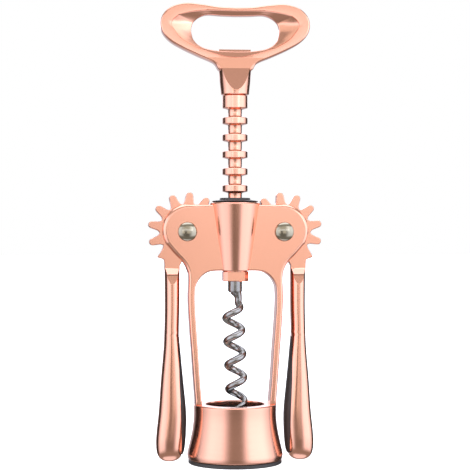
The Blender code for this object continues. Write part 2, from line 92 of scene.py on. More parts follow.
# The plates' outline down the right half: x, z and the radius of the rounded edge there
SHOULDER = (
    (28.75, 90.6, 1.5),
    (25.1, 86.4, 1.4),
    (21.8, 83.0, 1.3),
    (20.1, 80.0, 1.2),
    (19.4, 76.4, 1.1),
)
OUTER_LEG = (
    (19.6, 67.3, 1.1),
    (19.0, 56.0, 1.1),
    (18.3, 46.6, 1.1),
    (17.5, 35.0, 1.1),
    (16.8, 26.0, 1.0),
)
LEG_FOOT = ((16.8, 24.1, 0.9), (14.0, 24.1, 0.5))
INNER_LEG = (
    (14.1, 26.0, 0.6),
    (14.85, 35.0, 0.6),
    (15.6, 46.6, 0.6),
    (16.3, 56.0, 0.6),
    (16.9, 66.0, 0.6),
)
WINDOW_TOP = (
    (16.8, 71.7, 0.6),
    (16.2, 74.0, 0.6),
    (14.8, 76.3, 0.6),
    (12.5, 78.3, 0.6),
    (9.9, 79.2, 0.6),
    (5.5, 79.4, 0.6),
    (0.0, 79.5, 0.6),
)
# Radius and height of the boss at its foot and top, and the size of the rounding round its top
BOSS_FOOT = (6.95, 79.35)
BOSS_TOP = (10.5, 107.5)
BOSS_RIM = 0.9
BOSS_BORE = 5.6
BUSH_POCKET = (7.1, 105.3)  # radius and floor
BUSH_FACE = 107.65  # where its flange lies on the boss
PIN_R = 2.5
RIVET_R = 4.0
RIVET_RISE = 2.1
RIVET_RIM = 0.35  # how far a rivet's dome stands off the plate at its edge

BELL_HOLE = 12.1
BELL_BORE = 16.0
BELL_ROOF = 2.1
# Radius and height down the outside of the bell
BELL_SIDE = (
    (17.1, 23.6),
    (17.05, 20.5),
    (17.2, 17.6),
    (17.65, 13.9),
    (18.3, 10.5),
    (19.0, 7.4),
    (19.5, 5.2),
    (19.75, 3.7),
    (19.6, 2.4),
)

# A lever's arm, from the gear down: height, outer and inner distance from the middle, and half depth
ARM = (
    (80.9, 29.3, 23.0, 4.3),
    (77.4, 29.25, 23.0, 4.7),
    (73.9, 29.2, 23.0, 4.8),
    (64.0, 29.15, 23.05, 4.8),
    (54.0, 29.35, 23.25, 4.8),
    (46.6, 29.7, 22.7, 4.9),
    (34.2, 30.75, 21.5, 5.1),
    (21.7, 31.6, 20.3, 5.4),
    (13.5, 32.45, 20.3, 5.5),
    (9.0, 32.75, 20.6, 5.45),
    (5.4, 32.55, 21.1, 5.0),
    (3.2, 31.9, 22.2, 4.2),
    (1.8, 30.7, 23.6, 3.0),
    (1.1, 29.3, 25.2, 1.7),
    (0.92, 28.0, 26.5, 0.6),
)
ARM_FULLNESS = 2.3  # of its oval: 2 is an ellipse, more is squarer
GRIP_FACE = ((53.0, 23.4), (46.6, 23.5), (34.2, 23.3), (21.7, 22.7), (9.3, 22.4), (3.0, 22.5))
GRIP_ENDS = (52.4, 3.9)
GRIP_GAP = 0.12
# Side view of what is cut off an arm's front below the gear: depth from the middle and height
ARM_SHOULDER = (
    (2.2, 82.0),
    (2.2, 80.5),
    (2.5, 80.15),
    (3.75, 77.95),
    (3.62, 77.4),
    (4.85, 73.9),
    (9.0, 73.9),
    (9.0, 82.0),
)

# The handle at stations down its right half: the outer edge, the edge of its recess and of its mouth
HANDLE = (
    ((0.0, 187.9), (0.0, 186.6), (0.0, 184.5)),
    ((7.0, 188.2), (6.5, 186.7), (6.0, 184.65)),
    ((13.5, 189.1), (12.5, 186.7), (11.5, 184.9)),
    ((20.6, 189.6), (18.5, 186.0), (14.9, 183.8)),
    ((26.3, 188.1), (23.4, 184.8), (17.3, 181.8)),
    ((29.8, 185.0), (25.9, 182.6), (18.1, 179.9)),
    ((31.0, 181.3), (26.5, 180.4), (18.3, 178.1)),
    ((30.1, 177.3), (25.0, 177.8), (17.9, 175.9)),
    ((27.0, 173.8), (22.4, 174.8), (17.3, 174.3)),
    ((21.9, 170.8), (17.6, 171.9), (15.3, 172.2)),
    ((15.4, 167.8), (12.6, 169.9), (12.0, 170.75)),
    ((9.0, 165.0), (7.4, 168.4), (7.2, 170.0)),
    ((6.3, 161.8), (3.6, 167.5), (3.6, 169.85)),
    ((0.0, 160.5), (0.0, 167.2), (0.0, 169.8)),
)
RECESS_CORNER = 4  # the station where the recess has a corner
# How deep the recess is at the mouth, by station
RECESS_DEPTHS = (0.95, 0.95, 1.1, 1.55, 1.95, 1.75, 1.45, 1.02, 0.68, 0.42, 0.42, 0.58, 0.83, 0.9)
HANDLE_HALF = 3.0
HANDLE_EDGE = 0.8
RECESS_STEP = 0.3
MOUTH_LIP = 0.45
# Side view of the lip that lifts a cap: depth and height
CAP_LIP = ((-0.1, 168.9), (0.55, 170.95), (0.7, 171.0), (2.1, 171.0), (2.2, 170.9), (2.2, 168.6))
CAP_LIP_HALF = 6.6
# Radius and height up the outside of the neck
NECK = (
    (5.55, 152.05),
    (5.84, 152.35),
    (5.95, 154.0),
    (6.35, 157.5),
    (6.55, 160.3),
    (6.8, 162.6),
    (7.3, 164.2),
    (8.2, 165.8),
)
# Side view of what is cut off the front of the neck
NECK_FACET = ((5.95, 153.8), (3.5, 162.8))
# The slanted saddle above it: height, half width and depth
SADDLE = (
    (162.7, 5.9, 3.51),
    (163.5, 6.4, 3.42),
    (164.3, 7.1, 3.34),
    (165.1, 7.9, 3.25),
    (165.9, 9.2, 3.16),
    (166.7, 11.0, 3.07),
    (167.2, 12.2, 3.02),
)

# Worm and the collar that holds it
COLLAR_FLAT = 3.5  # half of a flat of its block
COLLAR_BLOCK_TOP = 79.1
COLLAR_TOP_R = 5.0
WIRE_R = 1.5
WORM_R = 3.3
WORM_PITCH = 9.77
WORM_LEFT_Z = 59.9
WORM_TIP_Z = 22.0
SHANK_R = 2.95
SHANK_FOOT = 70.3
SHANK_FLARE = 0.9  # how much thicker the wire is where it meets the shank
SHANK_FLARE_LENGTH = 3.2
WIRE_START_X = 1.4
WORM_LEAN = 0.04  # how far it leans to the side per millimetre, about the next height
WORM_LEAN_Z = 45.0
HELIX_FROM, HELIX_FULL = 67.5, 62.2  # where the wire starts to wind, and where it is fully wound
TIP_STEPS = 34  # steps of the path over which the wire narrows to its tip

# Camera and light
CAMERA_AZIMUTH = -6.0
CAMERA_DISTANCE = 0.600
CAMERA_HEIGHT = 0.0941
CAMERA_LENS = 111.0
WARM, COOL = (1.0, 0.94, 0.89), (1.0, 1.04, 1.20)
# Light of the room's walls: azimuth, half of the radiance and tint
WALLS = (
    (-180, 0.36, COOL),
    (-160, 0.30, COOL),
    (-146, 0.03, WARM),
    (-113, 0.03, WARM),
    (-100, 0.50, COOL),
    (-70, 0.80, COOL),
    (-45, 0.74, COOL),
    (-14, 0.165, WARM),
    (8, 0.165, WARM),
    (36, 0.86, COOL),
    (70, 0.90, COOL),
    (100, 0.60, COOL),
    (113, 0.03, WARM),
    (146, 0.03, WARM),
    (160, 0.30, COOL),
    (180, 0.36, COOL),
)
LOW_WALLS = 0.78  # how bright the walls are low down, next to their upper part
UPPER_EDGE = (0.49, 0.585)  # the height, as a share, over which the walls turn into their upper part
UPPER_LIGHT = 0.54
CEILING_EDGE = (0.76, 0.86)
CEILING_LIGHT = 2.1
BACK_LIGHT = 1.7
BELOW_LIGHT = 0.34
GROUND_LIGHT = 1.1
PANEL_DISTANCE = 0.8
# Panels in front: azimuths and elevations from and to, radiance and tint. They light all but the bell.
FRONT_PANELS = (
    ("low front panel", (-1.5, 16), (-10, 4.6), 0.72, WARM),
    ("left front panel", (-32, -15), (-10, 4.6), 0.80, WARM),
    ("high front panel", (-32, 34), (4.6, 14), 1.15, COOL),
    ("upper front panel", (-25, 36), (14, 33), 0.62, WARM),
)
KEY_SIZE, KEY_DISTANCE, KEY_ENERGY = 0.5, 0.9, 4.0


# Where the frame puts things, in millimetres


def box_mm(node):
    low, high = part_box(node)
    return [v / MM for v in low], [v / MM for v in high]


def joint_place(name):
    joint = next(j for j in frame["record"]["behaviour"]["joints"] if j["name"] == name)
    return [v / MM for v in joint["pos_m"]]


# Curves and outlines


def between(a, b, c, d, t):
    """The value a share t of the way from b to c, on a smooth curve from a on to d."""
    square = (a - 2.5 * b + 2 * c - d / 2) * t**2
    return b + (c - a) * t / 2 + square + (3 * b - a - 3 * c + d) * t**3 / 2


def curve_through(points, steps):
    """A smooth curve through points of any length, with this many steps between two of them."""
    points = [tuple(p) for p in points]
    first = tuple(2 * a - b for a, b in zip(points[0], points[1]))
    last = tuple(2 * a - b for a, b in zip(points[-1], points[-2]))
    ends = [first, *points, last]
    curve = []
    for group in zip(ends, ends[1:], ends[2:], ends[3:]):
        for i in range(steps):
            curve.append(tuple(between(*values, i / steps) for values in zip(*group)))
    curve.append(points[-1])
    return curve


def arc(x, z, radius, start, end, steps, *rest):
    """Points on a circle between two angles in degrees, each with the same further values."""
    points = []
    for i in range(steps + 1):
        angle = math.radians(start + (end - start) * i / steps)
        points.append((x + radius * math.cos(angle), z + radius * math.sin(angle), *rest))
    return points


def mirrored(half):
    """A closed outline from its right half, which starts and ends on the middle line."""
    return half + [(-p[0], *p[1:]) for p in reversed(half) if p[0] > 1e-6]


def inward(points):
    """Unit vectors into a closed outline, at each of its points."""
    points = np.array(points, float)
    after = np.roll(points, -1, axis=0)
    along = after - np.roll(points, 1, axis=0)
    square = np.stack((-along[:, 1], along[:, 0]), axis=1)
    square /= np.linalg.norm(square, axis=1)[:, None] + 1e-12
    area = np.sum(points[:, 0] * after[:, 1] - after[:, 0] * points[:, 1])
    return square * np.sign(area)


def table_value(table, z):
    """The value at a height, in a table of (height, value) from the top down."""
    heights = [row[0] for row in reversed(table)]
    values = [row[1] for row in reversed(table)]
    return float(np.interp(z, heights, values))


# Meshes


def to_object(name, bm):
    """An object made of this mesh, whose sizes are in millimetres."""
    bmesh.ops.remove_doubles(bm, verts=bm.verts[:], dist=1e-5)
    bmesh.ops.recalc_face_normals(bm, faces=bm.faces[:])
    mesh = bpy.data.meshes.new(name)
    bm.to_mesh(mesh)
    bm.free()
    mesh.transform(Matrix.Scale(MM, 4))
    obj = bpy.data.objects.new(name, mesh)
    bpy.context.collection.objects.link(obj)
    return obj


def loft(name, rings, closed_loop=False):
    """A solid through rings of as many points each, with its ends closed or joined to each other."""
    bm = bmesh.new()
    loops = [[bm.verts.new(tuple(point)) for point in ring] for ring in rings]
    count = len(loops[0])
    pairs = list(zip(loops, loops[1:]))
    if closed_loop:
        pairs.append((loops[-1], loops[0]))
    for one, two in pairs:
        for i in range(count):
            j = (i + 1) % count
            bm.faces.new((one[i], one[j], two[j], two[i]))
    if not closed_loop:
        for loop in (loops[0], loops[-1]):
            bm.faces.new(loop)
    return to_object(name, bm)


def turned(name, profile, segments=ROUND, centre=(0, 0, 0), forward=False):
    """A solid turned about Z or, if forward, about -Y, from a closed loop of (radius, height)."""
    bm = bmesh.new()
    rings = []
    for radius, height in profile:
        if radius <= 0:
            rings.append([bm.verts.new((0, 0, height))] * segments)
            continue
        turns = [math.tau * i / segments for i in range(segments)]
        ring = [(radius * math.cos(a), radius * math.sin(a), height) for a in turns]
        rings.append([bm.verts.new(point) for point in ring])
    for ring, after in zip(rings, rings[1:] + rings[:1]):
        for i in range(segments):
            j = (i + 1) % segments
            corners = list(dict.fromkeys((ring[i], ring[j], after[j], after[i])))
            if len(corners) > 2:
                bm.faces.new(corners)
    turn = Matrix.Rotation(math.pi / 2, 4, "X") if forward else Matrix.Identity(4)
    bm.transform(Matrix.Translation(centre) @ turn)
    return to_object(name, bm)


def rounded_prism(name, outline, half, steps=6):
    """An outline of (x, z, edge radius) as a plate from y = -half to half, with its edges rounded."""
    flat = np.array([p[:2] for p in outline])
    radii = np.array([p[2] for p in outline])
    into = inward(flat)
    front = []
    for i in range(steps + 1):
        angle = math.pi / 2 * (1 - i / steps)
        places = flat + into * (radii * (1 - math.cos(angle)))[:, None]
        depth = -half + radii * (1 - math.sin(angle))
        front.append([(x, y, z) for (x, z), y in zip(places, depth)])
    back = [[(x, -y, z) for x, y, z in ring] for ring in reversed(front)]
    return loft(name, front + back)


def side_cutter(name, outline, half_width, side, centre_x=0.0):
    """A prism across X from an outline of (depth, height). Side is -1 in front and 1 behind."""
    rings = [[(centre_x + x, side * y, z) for y, z in outline] for x in (-half_width, half_width)]
    return loft(name, rings)


def apply_boolean(obj, tool, operation):
    """Joins or cuts obj with the tool, and removes the tool."""
    modifier = obj.modifiers.new("boolean", "BOOLEAN")
    modifier.operation = operation
    modifier.object = tool
    modifier.solver = "EXACT"
    graph = bpy.context.evaluated_depsgraph_get()
    made = bpy.data.meshes.new_from_object(obj.evaluated_get(graph), depsgraph=graph)
    obj.modifiers.clear()
    obj.data = made
    bpy.data.objects.remove(tool, do_unlink=True)


def mark_flat_faces(mesh):
    """Gives the satin slot to the faces that are flat to the front or back, and to slanted flats."""
    for polygon in mesh.polygons:
        across, deep, _ = (abs(v) for v in polygon.normal)
        slant = across < 0.003 and deep > 0.75 and polygon.area > FACET_AREA
        polygon.material_index = SATIN if deep > 0.9995 or slant else POLISHED


def finish_piece(obj, body, nodes, materials):
    """Shades the piece smoothly, gives it its materials and ties it to the frame."""
    mesh = obj.data
    mesh.materials.clear()
    for material in materials:
        mesh.materials.append(material)
    if len(materials) > 1:
        mark_flat_faces(mesh)
    mesh.shade_smooth()
    mesh.set_sharp_from_angle(angle=SHARP_ANGLE)
    weighted = obj.modifiers.new("even shading", "WEIGHTED_NORMAL")
    weighted.keep_sharp = True
    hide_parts(*nodes)
    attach(obj, body)


# Materials


def new_material(name):
    material = bpy.data.materials.new(name)
    material.use_nodes = True
    return material, material.node_tree, material.node_tree.nodes["Principled BSDF"]


def add_noise(tree, scale, detail, stretch=(1, 1, 1)):
    """A noise in the object's own coordinates, with cells of about 1 / scale metres."""
    place = tree.nodes.new("ShaderNodeTexCoord")
    mapping = tree.nodes.new("ShaderNodeMapping")
    mapping.inputs["Scale"].default_value = stretch
    noise = tree.nodes.new("ShaderNodeTexNoise")
    noise.inputs["Scale"].default_value = scale
    noise.inputs["Detail"].default_value = detail
    tree.links.new(place.outputs["Object"], mapping.inputs["Vector"])
    tree.links.new(mapping.outputs["Vector"], noise.inputs["Vector"])
    return noise.outputs["Fac"]


def add_range(tree, value, low, high):
    """The value spread from low to high."""
    spread = tree.nodes.new("ShaderNodeMapRange")
    spread.inputs["From Min"].default_value = 0.3
    spread.inputs["From Max"].default_value = 0.7
    spread.inputs["To Min"].default_value = low
    spread.inputs["To Max"].default_value = high
    tree.links.new(value, spread.inputs["Value"])
    return spread.outputs["Result"]


def add_colour_mix(tree, value, one, two):
    mix = tree.nodes.new("ShaderNodeMix")
    mix.data_type = "RGBA"
    mix.inputs["A"].default_value = (*one, 1)
    mix.inputs["B"].default_value = (*two, 1)
    tree.links.new(value, mix.inputs["Factor"])
    return mix.outputs["Result"]


def add_bump(tree, height, distance, strength, before=None):
    bump = tree.nodes.new("ShaderNodeBump")
    bump.inputs["Distance"].default_value = distance
    bump.inputs["Strength"].default_value = strength
    tree.links.new(height, bump.inputs["Height"])
    if before is not None:
        tree.links.new(before, bump.inputs["Normal"])
    return bump.outputs["Normal"]


def metal(name, colours, roughness, ripple, grain_stretch=(1, 1, 1), grain=0.0, grain_scale=3000):
    """A metal with a slight drift of colour, uneven gloss, soft ripples and a fine grain."""
    material, tree, shader = new_material(name)
    shader.inputs["Metallic"].default_value = 1.0
    patches = add_noise(tree, 90, 3)
    tree.links.new(add_colour_mix(tree, patches, *colours), shader.inputs["Base Color"])
    fine = add_noise(tree, grain_scale, 4, grain_stretch)
    tree.links.new(add_range(tree, fine, *roughness), shader.inputs["Roughness"])
    normal = add_bump(tree, add_noise(tree, 160, 2), 0.0002, ripple)
    if grain:
        normal = add_bump(tree, fine, 0.00002, grain, normal)
    tree.links.new(normal, shader.inputs["Normal"])
    return material


def plastic(name, colours, roughness):
    """A moulded plastic with a fine spark-eroded texture."""
    material, tree, shader = new_material(name)
    patches = add_noise(tree, 240, 4)
    tree.links.new(add_colour_mix(tree, patches, *colours), shader.inputs["Base Color"])
    fine = add_noise(tree, 2600, 3)
    tree.links.new(add_range(tree, fine, *roughness), shader.inputs["Roughness"])
    tree.links.new(add_bump(tree, fine, 0.00004, 0.5), shader.inputs["Normal"])
    return material


GOLD = ((0.95, 0.48, 0.34), (0.97, 0.50, 0.355))
WORM_STEEL = ((0.20, 0.19, 0.18), (0.54, 0.53, 0.51))
RIVET_STEEL = ((0.38, 0.34, 0.25), (0.46, 0.42, 0.32))
BLACK = ((0.030, 0.026, 0.025), (0.045, 0.040, 0.038))
polished_gold = metal("rose gold, polished", GOLD, (0.14, 0.20), 0.08)
satin_gold = metal("rose gold, satin", GOLD, (0.17, 0.23), 0.04, grain=0.15)
turned_gold = metal("rose gold, turned", GOLD, (0.16, 0.24), 0.05, (0.05, 0.05, 1.0), 0.15, 1800)
worm_steel = metal("worm steel", WORM_STEEL, (0.14, 0.30), 0.5, grain=0.8)
rivet_steel = metal("rivet steel", RIVET_STEEL, (0.12, 0.20), 0.15, grain=0.2)
black_plastic = plastic("black plastic", BLACK, (0.38, 0.52))
CASTING = (polished_gold, satin_gold)


# The frame


def frame_outline():
    """The casting's outline, from the top middle down its outer side and up its window."""
    edges = ((0.0, PLATE_TOP_EDGE), (6.0, PLATE_TOP_EDGE), (12.0, 1.0), (16.0, 1.3))
    top = [(x, PLATE_TOP, edge) for x, edge in edges]
    ear = arc(*EAR, 90, -26, 48, EAR_EDGE)
    leg = curve_through(SHOULDER + OUTER_LEG, 10)
    window = curve_through(INNER_LEG + WINDOW_TOP, 10)
    return mirrored(top + ear + leg + list(LEG_FOOT) + window)


def boss_profile():
    """Radius and height round the conical boss, with its foot's edge broken and its top's edge round."""
    foot_r, foot_z = BOSS_FOOT
    top_r, top_z = BOSS_TOP
    profile = [(0, foot_z), (foot_r - 0.4, foot_z)]
    profile += [(foot_r - 0.1, foot_z + 0.1), (foot_r + 0.03, foot_z + 0.4)]
    for angle in np.linspace(0.12, math.pi / 2, 9):
        across, up = math.cos(angle), math.sin(angle)
        profile.append((top_r - BOSS_RIM * (1 - across), top_z - BOSS_RIM * (1 - up)))
    return profile + [(0, top_z)]


def make_frame(pivot):
    """The casting: two cheek plates with a gear slot between them, the boss and the legs."""
    casting = rounded_prism("frame_casting", frame_outline(), PLATE_HALF)
    apply_boolean(casting, turned("boss", boss_profile()), "UNION")
    low, high = BOSS_FOOT[1] - 2, BOSS_TOP[1] + 2
    pocket_r, floor = BUSH_POCKET
    bore = [(0, low), (BOSS_BORE, low), (BOSS_BORE, floor)]
    bore += [(pocket_r, floor), (pocket_r, high), (0, high)]
    apply_boolean(casting, turned("bore", bore), "DIFFERENCE")
    for side in (-1, 1):
        disc = [(0, -SLOT_HALF), (SLOT_R, -SLOT_HALF), (SLOT_R, SLOT_HALF), (0, SLOT_HALF)]
        place = (side * pivot[0], 0, pivot[2])
        apply_boolean(casting, turned("slot", disc, centre=place, forward=True), "DIFFERENCE")
    finish_piece(casting, "frame", ["frame_body"], CASTING)


def make_bell():
    """The bell, whose roof is thin round the hole, so that its rim is a sharp line over the dark."""
    low, high = box_mm("bell_base")
    foot, top = low[2], high[2]
    hole = BELL_HOLE
    profile = [(hole + 1.4, top - BELL_ROOF), (hole + 1.4, top - 1.0), (hole + 0.1, top - 0.7)]
    profile += [(hole, top - 0.6), (hole, top - 0.35), (hole + 0.1, top - 0.1), (hole + 0.35, top)]
    profile += [(16.4, top)] + arc(16.4, top - 0.7, 0.7, 75, 5, 6)
    profile += curve_through(BELL_SIDE, 8)
    profile += arc(19.1, foot + 0.45, 0.45, 0, -90, 5)
    profile += [(BELL_BORE + 0.2, foot), (BELL_BORE, foot + 0.3), (BELL_BORE, top - BELL_ROOF)]
    bell = turned("bell_casting", profile, BELL_SEGMENTS)
    finish_piece(bell, "frame", ["bell_base"], [turned_gold])


def make_liner():
    """The plastic ring under the bell, with its tube and the seat for the bottle's rim."""
    low, high = box_mm("bell_liner")
    top = high[2]
    profile = [(16.0, low[2]), (18.9, low[2])] + arc(18.9, low[2] + 0.4, 0.4, -75, 0, 5)
    profile += [(19.3, 1.3), (19.1, 1.55), (15.8, 1.55), (15.7, 1.8), (15.7, top), (12.5, top)]
    profile += [(12.5, 19.4), (12.7, 19.2), (14.7, 19.2), (14.9, 19.0), (14.9, 1.4), (15.3, 0.4)]
    liner = turned("liner_moulding", profile)
    finish_piece(liner, "frame", ["bell_liner"], [black_plastic])


def make_bush():
    """The bush in the top of the boss: a tube with a low domed flange."""
    low, high = box_mm("guide_bush")
    foot, top = low[2], high[2]
    face = BUSH_FACE
    dome = ((9.4, 0.5), (8.3, 0.7), (7.2, 0.85), (6.5, 1.0), (6.3, 1.25))
    profile = [(5.5, foot), (6.8, foot), (6.8, face)]
    profile += [(8.9, face), (9.45, face + 0.2), (9.55, face + 0.35)]
    profile += curve_through([(radius, face + rise) for radius, rise in dome], 5)
    profile += [(6.2, top - 0.08), (6.05, top), (5.65, top), (5.5, top - 0.15)]
    bush = turned("guide_bush_moulding", profile)
    finish_piece(bush, "guide_bush", ["guide_bush"], [black_plastic])


def make_rivets(hand, pivot):
    """The two halves of a pivot, each with a domed head."""
    head = PLATE_HALF
    rim = head + RIVET_RIM
    outside = [(RIVET_R - 0.15, head), (RIVET_R, head + 0.15)]
    for angle in np.linspace(0, 1.5, 18):
        rise = (RIVET_RISE - RIVET_RIM) * math.sin(angle)
        outside.append((RIVET_R * math.cos(angle), rim + rise))
    outside.append((0, head + RIVET_RISE))
    front = [(0, -head + 1.0), (PIN_R, -head + 1.0), (PIN_R, head), *outside]
    back = [(radius, -height) for radius, height in [(0, head), *outside]]
    place = (pivot[0], 0, pivot[2])
    rivet = turned(f"{hand}_rivet_head", front, SMALL_SEGMENTS, place, forward=True)
    finish_piece(rivet, "frame", [f"{hand}_pivot_rivet"], [rivet_steel])
    cap = turned(f"{hand}_rivet_tail", back, SMALL_SEGMENTS, place, forward=True)
    finish_piece(cap, "frame", [f"{hand}_rivet_cap"], [rivet_steel])


# The levers


def sector_outline(pivot_x, pivot_z, first_tooth):
    """The right lever's toothed sector, from its inner lower corner round to the outer one."""
    def spot(radius, angle):
        return (pivot_x - radius * math.sin(angle), pivot_z + radius * math.cos(angle))

    step = math.tau / GEAR_TEETH
    teeth = []
    for number in SECTOR_TEETH:
        middle = math.radians(first_tooth) - number * step
        teeth.append(spot(TOOTH_GAP_R, middle + step / 2))
        teeth += [spot(r, middle + half / r) for r, half in TOOTH_FLANK]
        teeth.append(spot(TOOTH_TIP_R, middle))
        teeth += [spot(r, middle - half / r) for r, half in reversed(TOOTH_FLANK)]
    last = math.radians(first_tooth) - (SECTOR_TEETH[-1] + 1) * step
    teeth += [spot(TOOTH_GAP_R, last + step / 2), spot(12.2, last + 0.17), spot(14.2, last + 0.10)]
    wedge = [(32.15, 85.3), (32.2, 85.0), (31.9, 84.75), (30.1, 84.2), (29.55, 83.7), (29.35, 82.6)]
    inner = [(23.0, 81.5), (22.5, 82.4), (22.1, 83.2)]
    hidden = [spot(TOOTH_GAP_R, math.radians(a)) for a in (175, 160, 145)]
    outline = curve_through(teeth, 5) + curve_through(wedge, 3)
    outline += [(29.3, 79.9), (23.0, 79.9)] + inner + hidden
    return [(x, z, GEAR_EDGE) for x, z in outline]


def oval(row, start, end, count):
    """A piece of an arm's oval section, between two angles from its inner side."""
    z, outer, inner, half = row
    middle, width = (outer + inner) / 2, (outer - inner) / 2
    power = 2 / ARM_FULLNESS
    points = []
    for angle in np.linspace(start, end, count):
        across, deep = math.cos(angle), math.sin(angle)
        x = middle - width * math.copysign(abs(across) ** power, across)
        points.append((x, half * math.copysign(abs(deep) ** power, deep), z))
    return points


def cut_angle(row, face):
    """The angle where the oval meets the flat at x = face."""
    share = ((row[1] + row[2]) / 2 - face) / ((row[1] - row[2]) / 2)
    share = max(0.0, min(1.0, share))
    return math.acos(share ** (ARM_FULLNESS / 2))


def mirrored_rings(rings, side):
    return [[(side * x, y, z) for x, y, z in ring] for ring in rings]


def make_lever(hand, side, pivot):
    """A lever's casting: the toothed sector and the rounded arm, with a flat where the grip lies."""
    rows = curve_through(ARM, 8)
    rings = []
    for row in rows:
        angle = 0.02
        if row[0] < GRIP_FACE[0][0]:
            angle = max(angle, cut_angle(row, table_value(GRIP_FACE, row[0])))
        rings.append(oval(row, angle, math.tau - angle, 72))
    lever = loft(f"{hand}_lever_casting", mirrored_rings(rings, side))
    for face in (-1, 1):
        cutter = side_cutter("shoulder", ARM_SHOULDER, 8, face, side * 26)
        apply_boolean(lever, cutter, "DIFFERENCE")
    outline = sector_outline(abs(pivot[0]), pivot[2], FIRST_TOOTH[hand])
    outline = [(side * x, z, r) for x, z, r in outline]
    apply_boolean(lever, rounded_prism("sector", outline, GEAR_HALF, 3), "UNION")
    finish_piece(lever, f"{hand}_lever", [f"{hand}_lever"], CASTING)


def make_grip(hand, side):
    """The insert along the inner side of an arm, a hair's breadth from the metal."""
    rows = [row for row in curve_through(ARM, 8) if GRIP_ENDS[1] < row[0] < GRIP_ENDS[0]]
    rings = []
    for row in rows:
        angle = cut_angle(row, table_value(GRIP_FACE, row[0]) - GRIP_GAP)
        rings.append(oval(row, -angle, angle, 36))
    grip = loft(f"{hand}_grip_insert", mirrored_rings(rings, side))
    finish_piece(grip, f"{hand}_lever", [f"{hand}_lever_grip"], [black_plastic])


# The rack, the worm and the handle


def make_rack():
    """The round rack: its core with the rings, and the collar at its top."""
    low, high = box_mm("rack_shaft")
    ring_r = high[0]
    shoulder = ring_r - RING_EDGE
    fillet = CORE_R + CORE_FILLET
    half = (
        (ring_r, RING_TIP_HALF - RING_EDGE),
        (shoulder, RING_TIP_HALF + 0.05),
        (fillet, RING_ROOT_HALF),
        (CORE_R, RING_ROOT_HALF + 0.25),
    )
    profile = [(0, low[2]), (CORE_R, low[2])]
    for number in reversed(range(RING_COUNT)):
        z = TOP_RING_Z - number * RACK_PITCH
        profile += [(radius, z - rise) for radius, rise in reversed(half)]
        profile += [(radius, z + rise) for radius, rise in half]
    profile += [(CORE_R, 145.7), (fillet, 145.95), (shoulder, 146.55), (ring_r, 146.75)]
    profile += [(ring_r, 151.5), (ring_r - 0.2, 151.75), (4.6, 151.8), (4.4, 152.2), (0, 152.2)]
    rack = turned("rack_turning", profile, RACK_SEGMENTS)
    finish_piece(rack, "rack_unit", ["rack_shaft"], [turned_gold])


def block_ring(half, flat, z):
    """A square with cut corners, from half of its width and half of the width of its flats."""
    quarter = [(half, -flat), (half, flat)]
    ring = quarter + [(-y, x) for x, y in quarter]
    return [(x, y, z) for x, y in ring + [(-x, -y) for x, y in ring]]


def make_collar():
    """The square block that holds the worm, with its edges broken."""
    low, high = box_mm("worm_collar")
    half, flat, top = high[0], COLLAR_FLAT, COLLAR_BLOCK_TOP
    rings = [block_ring(half - 0.35, flat - 0.15, low[2]), block_ring(half, flat, low[2] + 0.3)]
    rings += [block_ring(half, flat, top - 0.2), block_ring(half - 0.2, flat - 0.1, top)]
    collar = loft("worm_collar_block", rings)
    start, end = top - 1.1, high[2]
    round_top = [(0, start), (COLLAR_TOP_R, start), (COLLAR_TOP_R, end), (0, end)]
    apply_boolean(collar, turned("top", round_top, 96), "UNION")
    bevel = collar.modifiers.new("broken edges", "BEVEL")
    bevel.width = 0.12 * MM
    bevel.segments = 2
    bevel.limit_method = "ANGLE"
    bevel.angle_limit = math.radians(35)
    finish_piece(collar, "rack_unit", ["worm_collar"], CASTING)


def shank_flare(z):
    """How much thicker the wire is at this height, where it grows out of the shank."""
    share = 1 - (SHANK_FOOT + 0.3 - z) / SHANK_FLARE_LENGTH
    return SHANK_FLARE * min(1.0, max(0.0, share)) ** 2


def worm_path():
    """The middle of the wire from inside the shank down to the tip, as a right-hand helix."""
    step = WORM_PITCH / 64
    top = SHANK_FOOT + 1.2
    points = []
    for i in range(round((top - WORM_TIP_Z) / step) + 1):
        z = top - i * step
        blend = min(1.0, max(0.0, (HELIX_FROM - z) / (HELIX_FROM - HELIX_FULL)))
        blend = blend * blend * (3 - 2 * blend)
        angle = math.pi + math.tau * (z - WORM_LEFT_Z) / WORM_PITCH
        x = WORM_R * math.cos(angle) + WORM_LEAN * (WORM_LEAN_Z - z)
        y = WORM_R * math.sin(angle)
        x = WIRE_START_X + (x - WIRE_START_X) * blend - shank_flare(z)
        points.append(Vector((x, y * blend, z)))
    return points


def tube_rings(points, radii, sides):
    """Rings of a tube along the points, square to its path and not twisted."""
    rings = []
    across = Vector((1, 0, 0))
    for i, (point, radius) in enumerate(zip(points, radii)):
        along = (points[min(i + 1, len(points) - 1)] - points[max(i - 1, 0)]).normalized()
        across = (across - along * across.dot(along)).normalized()
        other = along.cross(across)
        turns = [math.tau * k / sides for k in range(sides)]
        rings.append([point + (across * math.cos(a) + other * math.sin(a)) * radius for a in turns])
    return rings


def make_worm():
    """The wire of the worm and the shank that it hangs from, up to the rack."""
    low, _ = box_mm("rack_shaft")
    top = low[2] + 0.1
    path = worm_path()
    radii = []
    for i, point in enumerate(path):
        share = 0.08 + 0.92 * ((len(path) - 1 - i) / TIP_STEPS) ** 0.7
        radii.append(WIRE_R * min(1.0, share) + shank_flare(point.z))
    worm = loft("worm_wire", tube_rings(path, radii, 28))
    profile = [(0, SHANK_FOOT), (SHANK_R - 0.9, SHANK_FOOT), (SHANK_R - 0.25, SHANK_FOOT + 0.25)]
    profile += [(SHANK_R, SHANK_FOOT + 0.9), (SHANK_R, top), (0, top)]
    apply_boolean(worm, turned("shank", profile, SMALL_SEGMENTS), "UNION")
    finish_piece(worm, "rack_unit", ["worm"], [worm_steel])


